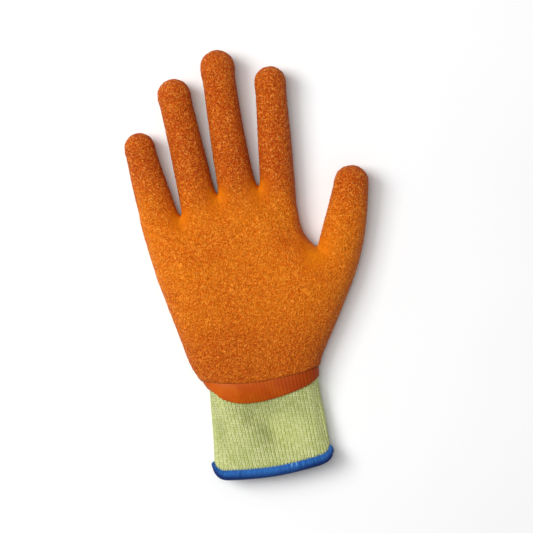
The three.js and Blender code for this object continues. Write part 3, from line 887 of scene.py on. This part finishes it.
# %% [markdown]
# Crumpled latex is a net of short ridges with hollows between. A noise that is folded at its middle
# value gives such a net: where the noise passes one half there is a ridge. A second, finer net and
# a grain lie over it. The place is pushed about first, so that the ridges don't run smoothly.

# %% The crinkles
crinkles, given, out = new_group(
    "latex_crinkles",
    [("Place", "NodeSocketVector", None), ("Amount", "NodeSocketFloat", 1.0)],
    [("Height", "NodeSocketFloat"), ("Hollow Shade", "NodeSocketFloat"), ("Glint", "NodeSocketFloat")],
)
pushed = crinkles.node("ShaderNodeTexNoise", {"Vector": given["Place"], "Scale": 0.3, "Detail": 1.0})
push = crinkles.shift("MULTIPLY", pushed.outputs["Color"], (1.8, 1.8, 1.8))
place = crinkles.shift("ADD", given["Place"], push)
wide = crinkles.noise(place, 0.62, 1.0, 0.5, 0.3)
fine = crinkles.noise(place, 1.15, 1.0, 0.5, 0.3)
grain = crinkles.noise(given["Place"], 2.6, 2.0, 0.6)


def folded(net, value, sharpness):
    """1 where a noise passes one half, falling to 0 on both sides."""
    away = net.calc("ABSOLUTE", net.calc("SUBTRACT", value, 0.5))
    return net.calc("SUBTRACT", 1.0, net.times(away, sharpness), clamp=True)


wide_ridges = folded(crinkles, wide, 4.2)
fine_ridges = folded(crinkles, fine, 4.2)
height = crinkles.times(wide_ridges, 0.44)
height = crinkles.calc("MULTIPLY_ADD", fine_ridges, 0.42, height)
height = crinkles.calc("MULTIPLY_ADD", grain, 0.14, height)
height = crinkles.times(height, given["Amount"])
crinkles.feed(out["Height"], height)
# The hollows of the crinkles are marked for painted shade.
crinkles.feed(out["Hollow Shade"], crinkles.times(crinkles.smooth(height, 0.36, 0.1), given["Amount"]))
spots = crinkles.smooth(crinkles.noise(given["Place"], 0.9, 1.0), 0.52, 0.68)
crests = crinkles.smooth(height, 0.62, 0.86)
crinkles.feed(out["Glint"], crinkles.times(crests, spots))
print("crinkle group has", len(crinkles.tree.nodes), "nodes")

# %% [markdown]
# Latex of this kind is a matt skin with tiny wet-looking crests. Its colour gets painted shade, deeper
# and redder, in the hollows, and painted highlights, paler, on the crests, with pale painted glints.
# It is brighter and yellower over the webs, partly as the smooth, stretched latex there and partly
# as a painted highlight. The lower palm gets painted shade that makes it duller. The fingers are
# redder, partly in their own tone and partly as painted shade. The upright sides get painted shade,
# most on the sides towards the thumb. The painted zones and side shade of the coat steer this.

# %% Crinkled latex
ORANGE = paint_of(220, 98, 0)
PALER_ORANGE = paint_of(228, 112, 0)
LOWER_PALM_SHADE_ORANGE = paint_of(182, 70, 6)
FINGER_RED_AND_SHADE = paint_of(186, 66, 4)
HOLLOW_SHADE_RED = paint_of(136, 40, 4)
CREST_HIGHLIGHT_YELLOW = paint_of(252, 152, 40)
GLINT_PALE = paint_of(255, 190, 110)
WEB_YELLOW_AND_HIGHLIGHT = paint_of(240, 138, 6)
SIDE_SHADE_RED = paint_of(138, 36, 8)

latex_crinkle, net, shader = new_material("latex_crinkle")
place = net.millimetres()
zones = net.channels(net.attribute("zones"))
web = zones["Red"]
low = zones["Green"]
finger = zones["Blue"]
rough_share = net.calc("SUBTRACT", 1.0, net.times(web, 0.5))
crinkle = net.node("ShaderNodeGroup", node_tree=crinkles.tree)
net.feed(crinkle.inputs["Place"], place)
net.feed(crinkle.inputs["Amount"], rough_share)
clouds = net.noise(place, 0.045, 3.0, 0.55)
colour = net.mix(net.smooth(clouds, 0.35, 0.65), ORANGE, PALER_ORANGE)
# Painted shade: the lower palm is painted duller.
colour = net.mix(net.times(low, 0.7), colour, LOWER_PALM_SHADE_ORANGE)
# The fingers are painted redder, partly as their own tone and partly as painted shade.
colour = net.mix(net.times(finger, 0.85), colour, FINGER_RED_AND_SHADE)
# Painted shade: the crinkle hollows are painted deeper and redder.
colour = net.mix(net.times(crinkle.outputs["Hollow Shade"], 0.6), colour, HOLLOW_SHADE_RED)
dull = net.calc("MAXIMUM", finger, low)
# Painted highlight: the crinkle crests are painted paler and yellower, less on the fingers and lower
# palm.
crest_highlight = net.times(net.smooth(crinkle.outputs["Height"], 0.6, 0.82), 0.8)
crest_highlight = net.times(crest_highlight, net.calc("MULTIPLY_ADD", dull, -0.35, 1.0))
colour = net.mix(crest_highlight, colour, CREST_HIGHLIGHT_YELLOW)
# The webs are painted brighter and yellower, partly as the smooth, stretched latex's own tone and partly
# as a painted highlight.
colour = net.mix(net.times(web, 0.7), colour, WEB_YELLOW_AND_HIGHLIGHT)
# Painted glints: small pale specks on the crinkle crests, stronger on the fingers.
painted_glints = net.times(crinkle.outputs["Glint"], net.calc("MULTIPLY_ADD", finger, 0.35, 0.15))
colour = net.mix(painted_glints, colour, GLINT_PALE)
# Painted shade on the upright sides of the coat, most on the sides facing the thumb.
side_shade = net.attribute("side_shade", "Fac")
colour = net.mix(net.smooth(side_shade, 0.1, 0.7, 0.0, 0.35), colour, SIDE_SHADE_RED)
net.feed(shader.inputs["Base Color"], colour)
net.feed(shader.inputs["Roughness"], net.smooth(crinkle.outputs["Glint"], 0.0, 1.0, 0.58, 0.34))
shader.inputs["Specular IOR Level"].default_value = 0.12
net.feed(shader.inputs["Normal"], net.bump(crinkle.outputs["Height"], 1.0, 1.0 * MM))
latex_coat.data.materials.append(latex_crinkle)
print("crinkled latex has", len(net.tree.nodes), "nodes")

# %% [markdown]
# The band is the same latex, thin and smooth. The ribs of the cuff press through it, clearest where
# it turns down on the right, and a slow unevenness is left from the way it was poured.

# %% Thin latex
BAND_ORANGE = paint_of(184, 76, 4)
BAND_PALER = paint_of(194, 88, 6)
BAND_SHADED = paint_of(150, 50, 8)
BAND_GROOVE_SHADE = paint_of(120, 36, 6)
SHOWING_THROUGH = (-8.0, 36.0)

latex_thin, net, shader = new_material("latex_thin")
place = net.millimetres()
stitch = net.node("ShaderNodeGroup", node_tree=stitches.tree)
net.feed(stitch.inputs["Stitch Map"], net.node("ShaderNodeUVMap", uv_map="stitches").outputs[0])
net.feed(stitch.inputs["Ribbing"], 2.0)
crinkle = net.node("ShaderNodeGroup", node_tree=crinkles.tree)
net.feed(crinkle.inputs["Place"], place)
net.feed(crinkle.inputs["Amount"], 0.15)
side = net.smooth(net.node("ShaderNodeSeparateXYZ", {0: place}).outputs["X"], *SHOWING_THROUGH)
pressed = net.times(stitch.outputs["Height"], net.calc("MULTIPLY_ADD", side, 0.85, 0.15))
clouds = net.noise(place, 0.12, 3.0, 0.55)
colour = net.mix(net.smooth(clouds, 0.35, 0.65), BAND_ORANGE, BAND_PALER)
# Painted shade on the right, where the band turns down.
colour = net.mix(net.times(side, 0.7), colour, BAND_SHADED)
# Painted shade in the grooves between the ribs, stronger on the right.
groove_shade = net.times(stitch.outputs["Groove Shade"], net.calc("MULTIPLY_ADD", side, 0.4, 0.08))
colour = net.mix(groove_shade, colour, BAND_GROOVE_SHADE)
net.feed(shader.inputs["Base Color"], colour)
net.feed(shader.inputs["Roughness"], net.smooth(clouds, 0.3, 0.7, 0.5, 0.42))
shader.inputs["Specular IOR Level"].default_value = 0.12
height = net.calc("MULTIPLY_ADD", pressed, 0.7, crinkle.outputs["Height"])
net.feed(shader.inputs["Normal"], net.bump(height, 0.8, 0.4 * MM))
latex_band.data.materials.append(latex_thin)
print("thin latex has", len(net.tree.nodes), "nodes")

# %% [markdown]
# The yarn is a melange: pale yellow, yellow green and a little grey green are spun together, so the
# shade changes from stitch to stitch and within one. The slits between the legs get dark green
# painted shade.
# Loose fibres make the surface rough, and a faint sheen comes from them at grazing angles.

# %% Knitted yarn
YARN_GREEN = paint_of(192, 200, 118)
YARN_YELLOW = paint_of(220, 224, 156)
YARN_GREY_GREEN = paint_of(160, 170, 96)
YARN_PALE = paint_of(236, 236, 190)
YARN_CLOUD = paint_of(176, 186, 112)
YARN_SLIT_SHADE = paint_of(122, 130, 66)
RIBBED_BELOW = (-52.0, -66.0)

knit, net, shader = new_material("knit")
place = net.millimetres()
stitch = net.node("ShaderNodeGroup", node_tree=stitches.tree)
net.feed(stitch.inputs["Stitch Map"], net.node("ShaderNodeUVMap", uv_map="stitches").outputs[0])
on_cuff = net.smooth(net.node("ShaderNodeSeparateXYZ", {0: place}).outputs["Y"], *RIBBED_BELOW)
net.feed(stitch.inputs["Ribbing"], net.calc("MULTIPLY_ADD", on_cuff, 0.15, 0.25))
fibres = net.noise(place, 3.2, 3.0, 0.65)
clouds = net.noise(place, 0.06, 2.0, 0.5)
colour = net.mix(net.smooth(stitch.outputs["Stitch Shade"], 0.1, 0.9), YARN_GREEN, YARN_YELLOW)
colour = net.mix(net.smooth(fibres, 0.42, 0.66, 0.0, 0.55), colour, YARN_GREY_GREEN)
pale = net.smooth(net.noise(place, 1.1, 2.0, 0.6), 0.54, 0.7, 0.0, 0.5)
colour = net.mix(pale, colour, YARN_PALE)
colour = net.mix(net.smooth(clouds, 0.4, 0.7, 0.0, 0.25), colour, YARN_CLOUD)
# Painted shade in the slits between the legs.
colour = net.mix(net.times(stitch.outputs["Groove Shade"], 0.4), colour, YARN_SLIT_SHADE)
net.feed(shader.inputs["Base Color"], colour)
net.feed(shader.inputs["Roughness"], net.smooth(fibres, 0.2, 0.8, 0.82, 0.96))
shader.inputs["Specular IOR Level"].default_value = 0.2
shader.inputs["Sheen Weight"].default_value = 0.15
height = net.calc("MULTIPLY_ADD", fibres, 0.22, stitch.outputs["Height"])
net.feed(shader.inputs["Normal"], net.bump(height, 0.9, 0.8 * MM))
knit_mesh.materials.append(knit)
print("knitted yarn has", len(net.tree.nodes), "nodes")

# %% [markdown]
# The overlock thread is a bright blue synthetic yarn of two plies. The plies show as fine slanted
# lines, and light and dark fibres run along them. Two ends of the pale knitting yarn are caught
# under the wraps on the right of the hem, and their places are painted on the thread.

# %% Overlock yarn
BLUE = paint_of(34, 98, 178)
BLUE_PALER = paint_of(66, 138, 212)
BLUE_PLY = paint_of(18, 62, 140)
BLUE_WRAP = paint_of(12, 52, 124)
BLUE_RIM_SHADE = paint_of(8, 30, 92)
PALE_END = paint_of(164, 202, 208)

overlock_yarn, net, shader = new_material("overlock_yarn")
place = net.millimetres()
stretched = net.shift("MULTIPLY", place, (1.0, 0.35, 0.35))
fibres = net.noise(stretched, 2.8, 3.0, 0.6, 0.4)
wave = {"Vector": place, "Scale": 0.55, "Distortion": 1.2}
plies = net.node("ShaderNodeTexWave", wave, bands_direction="DIAGONAL")
colour = net.mix(net.smooth(fibres, 0.3, 0.7), BLUE, BLUE_PALER)
colour = net.mix(net.times(plies.outputs["Fac"], 0.25), colour, BLUE_PLY)
threads = net.channels(net.attribute("threads"))
colour = net.mix(net.times(threads["Green"], 0.6), colour, BLUE_WRAP)
# Painted shade, darker towards the rim of the hem.
colour = net.mix(net.smooth(threads["Blue"], 0.35, 0.85, 0.0, 0.9), colour, BLUE_RIM_SHADE)
colour = net.mix(threads["Red"], colour, PALE_END)
net.feed(shader.inputs["Base Color"], colour)
net.feed(shader.inputs["Roughness"], net.smooth(fibres, 0.2, 0.8, 0.6, 0.8))
shader.inputs["Specular IOR Level"].default_value = 0.15
shader.inputs["Sheen Weight"].default_value = 0.04
height = net.calc("MULTIPLY_ADD", plies.outputs["Fac"], 0.5, fibres)
net.feed(shader.inputs["Normal"], net.bump(height, 0.6, 0.2 * MM))
for piece in (overlock_edge, overlock_thread):
    piece.data.materials.append(overlock_yarn)
print("overlock yarn has", len(net.tree.nodes), "nodes")

# %% [markdown]
# The photo looks straight down on the glove. A long lens far above it gives the same view, with
# hardly any perspective. The floor is pale and plain. A soft key light from the upper left shades
# the folds and the right sides of the fingers, and a wide light near the camera fills them.

# %% Floor, light and camera
PHOTO_WIDTH = 305.6 * MM
VIEW_CENTRE = Vector((11.5 * MM, -0.9 * MM, 8.5 * MM))
CAMERA_HEIGHT = 1.2
SENSOR = 36.0
FLOOR_HALF = 3

camera_data = bpy.data.cameras.new("camera")
camera_data.sensor_width = SENSOR
camera_data.lens = SENSOR * CAMERA_HEIGHT / PHOTO_WIDTH
camera_data.clip_start = 0.01
camera_data.clip_end = 20
camera = bpy.data.objects.new("camera", camera_data)
camera.location = VIEW_CENTRE + Vector((0, 0, CAMERA_HEIGHT))
bpy.context.collection.objects.link(camera)
bpy.context.scene.camera = camera

floor_mesh = bpy.data.meshes.new("floor")
floor_corners = [(x * FLOOR_HALF, y * FLOOR_HALF, 0) for x, y in ((-1, -1), (1, -1), (1, 1), (-1, 1))]
floor_mesh.from_pydata(floor_corners, [], [(0, 1, 2, 3)])
floor = bpy.data.objects.new("floor", floor_mesh)
bpy.context.collection.objects.link(floor)

floor_material, net, shader = new_material("pale_floor")
place = net.node("ShaderNodeTexCoord").outputs["Object"]
speckle = net.smooth(net.noise(place, 6.0, 2.0), 0.3, 0.7, 0.93, 0.95)
grey = net.node("ShaderNodeCombineColor", {0: speckle, 1: speckle, 2: speckle}).outputs[0]
net.feed(shader.inputs["Base Color"], grey)
shader.inputs["Roughness"].default_value = 0.9
floor_mesh.materials.append(floor_material)

world = bpy.data.worlds.new("studio")
world.use_nodes = True
world.node_tree.nodes["Background"].inputs["Color"].default_value = (1, 1, 1, 1)
world.node_tree.nodes["Background"].inputs["Strength"].default_value = 0.32
bpy.context.scene.world = world
bpy.context.scene.view_settings.view_transform = "Standard"


def lamp(name, place, size, power):
    """A square light that points at the glove: place and size in metres, power in watts."""
    data = bpy.data.lights.new(name, "AREA")
    data.size = size
    data.energy = power
    light = bpy.data.objects.new(name, data)
    light.location = place
    light.rotation_euler = (Vector((0, 0, 0)) - Vector(place)).to_track_quat("-Z", "Y").to_euler()
    bpy.context.collection.objects.link(light)


lamp("key", (-1.0, 0.3, 1.2), 0.8, 19)
lamp("top", (-0.4, 0.2, 2.0), 1.0, 12.5)
print("lens of", round(camera_data.lens), "mm,", len(bpy.data.lights), "lights")
